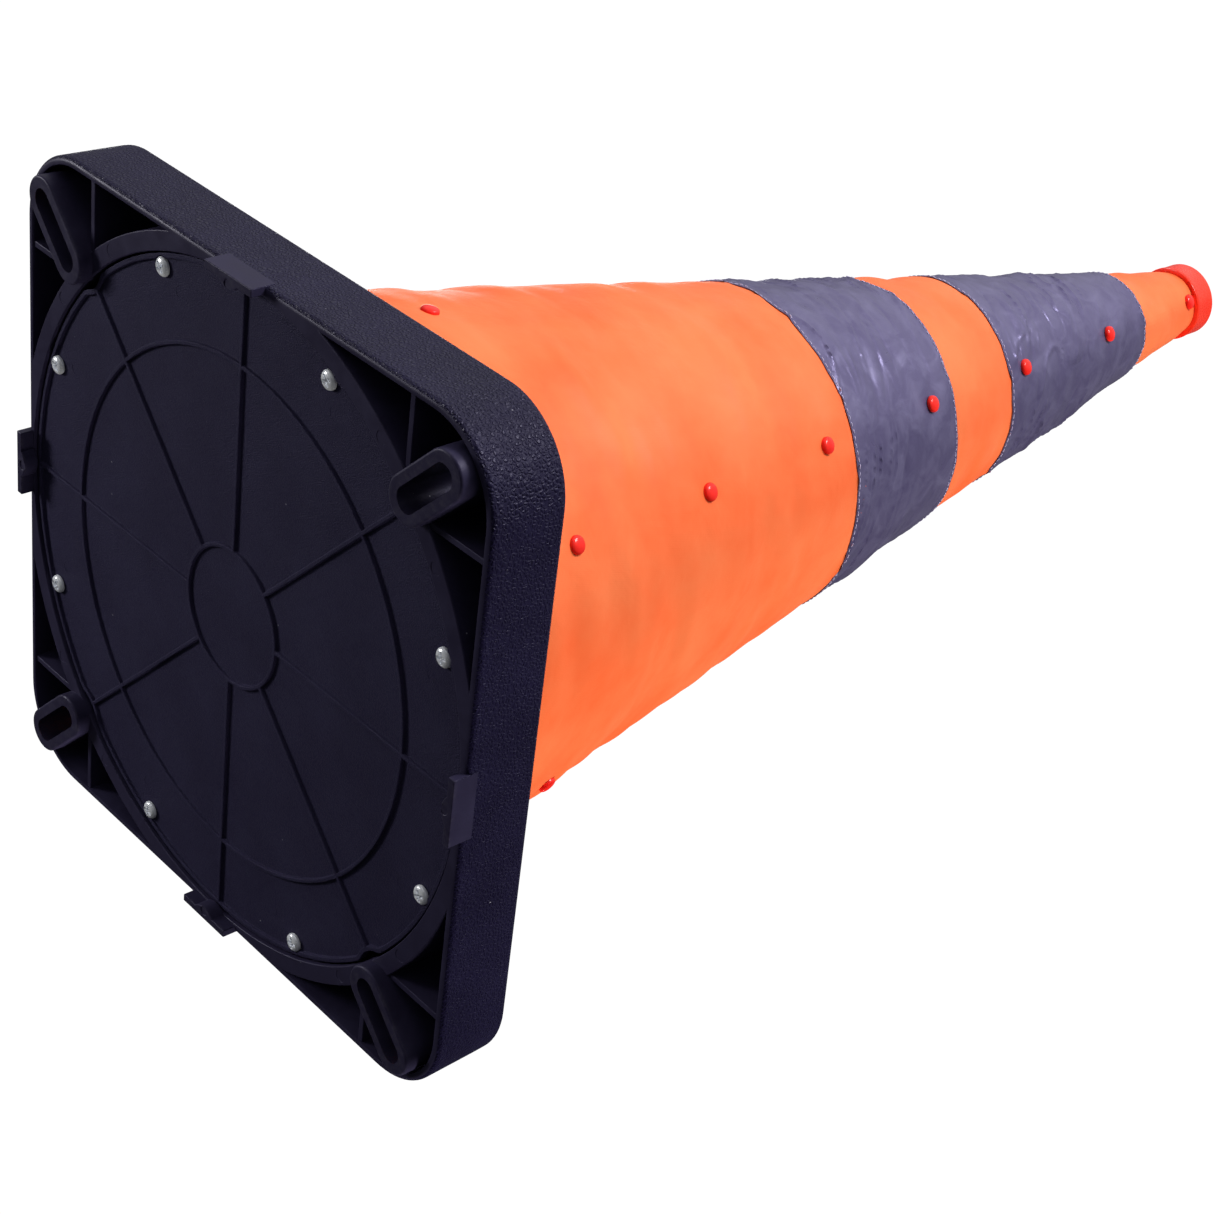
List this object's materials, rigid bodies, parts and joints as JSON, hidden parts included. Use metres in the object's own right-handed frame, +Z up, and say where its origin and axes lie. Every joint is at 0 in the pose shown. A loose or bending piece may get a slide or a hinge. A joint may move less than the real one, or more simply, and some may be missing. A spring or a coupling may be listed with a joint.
{
  "type": "collapsible traffic cone",
  "caption": "Telescoping fabric traffic cone on a square ribbed base with slotted corner feet, two reflective bands, radial rivets and a closed collar.",
  "frame": {"origin": "on the floor plane under the feet, on the cone's axis", "axes": "+Z up along the cone's axis; X and Y square to the base's sides"},
  "size_m": [0.3304, 0.3304, 0.7],
  "materials": {
    "base_plastic": "leather-grained on the outer walls, smooth at the rim",
    "cover_plastic": "fine matte grain",
    "screw_zinc": "bright zinc plate",
    "section_plastic": "satin moulded",
    "rivet_red": "glossy red",
    "sleeve_fabric": "coated woven polyester with a low sheen",
    "reflective_tape": "crinkled grey retro-reflective tape",
    "collar_red": "glossy red"
  },
  "bodies": {
    "base": {"base_shell": "base_plastic", "bottom_cover": "cover_plastic", "cover_screw_1": "screw_zinc", "cover_screw_2": "screw_zinc", "cover_screw_3": "screw_zinc", "cover_screw_4": "screw_zinc", "cover_screw_5": "screw_zinc", "cover_screw_6": "screw_zinc", "cover_screw_7": "screw_zinc", "cover_screw_8": "screw_zinc", "section_1": "section_plastic", "rivet_1_1": "rivet_red", "rivet_1_2": "rivet_red", "rivet_1_3": "rivet_red", "rivet_1_4": "rivet_red", "rivet_1_5": "rivet_red", "rivet_1_6": "rivet_red", "sleeve": "sleeve_fabric", "reflective_band_1": "reflective_tape", "reflective_band_2": "reflective_tape"},
    "telescope_2": {"section_2": "section_plastic", "rivet_2_1": "rivet_red", "rivet_2_2": "rivet_red", "rivet_2_3": "rivet_red"},
    "telescope_3": {"section_3": "section_plastic", "rivet_3_1": "rivet_red", "rivet_3_2": "rivet_red", "rivet_3_3": "rivet_red"},
    "telescope_4": {"section_4": "section_plastic", "rivet_4_1": "rivet_red", "rivet_4_2": "rivet_red", "rivet_4_3": "rivet_red"},
    "telescope_5": {"section_5": "section_plastic", "rivet_5_1": "rivet_red", "rivet_5_2": "rivet_red", "rivet_5_3": "rivet_red"},
    "telescope_6": {"section_6": "section_plastic", "rivet_6_1": "rivet_red", "rivet_6_2": "rivet_red", "rivet_6_3": "rivet_red"},
    "telescope_7": {"section_7": "section_plastic", "rivet_7_1": "rivet_red", "rivet_7_2": "rivet_red", "rivet_7_3": "rivet_red", "collar": "collar_red"}
  },
  "joints": [
    {"name": "collapse", "type": "slide", "parent": "base", "child": "telescope_2", "axis": [0, 0, -1], "range_m": [0, 0.091], "deforming": ["sleeve", "reflective_band_1", "reflective_band_2"]},
    {"name": "slide_3", "type": "slide", "parent": "telescope_2", "child": "telescope_3", "axis": [0, 0, -1], "range_m": [0, 0.091]},
    {"name": "slide_4", "type": "slide", "parent": "telescope_3", "child": "telescope_4", "axis": [0, 0, -1], "range_m": [0, 0.091]},
    {"name": "slide_5", "type": "slide", "parent": "telescope_4", "child": "telescope_5", "axis": [0, 0, -1], "range_m": [0, 0.091]},
    {"name": "slide_6", "type": "slide", "parent": "telescope_5", "child": "telescope_6", "axis": [0, 0, -1], "range_m": [0, 0.091]},
    {"name": "slide_7", "type": "slide", "parent": "telescope_6", "child": "telescope_7", "axis": [0, 0, -1], "range_m": [0, 0.091]}
  ],
  "couplings": [
    {"joint": "slide_3", "follows": "collapse", "ratio": 1},
    {"joint": "slide_4", "follows": "collapse", "ratio": 1},
    {"joint": "slide_5", "follows": "collapse", "ratio": 1},
    {"joint": "slide_6", "follows": "collapse", "ratio": 1},
    {"joint": "slide_7", "follows": "collapse", "ratio": 1}
  ]
}
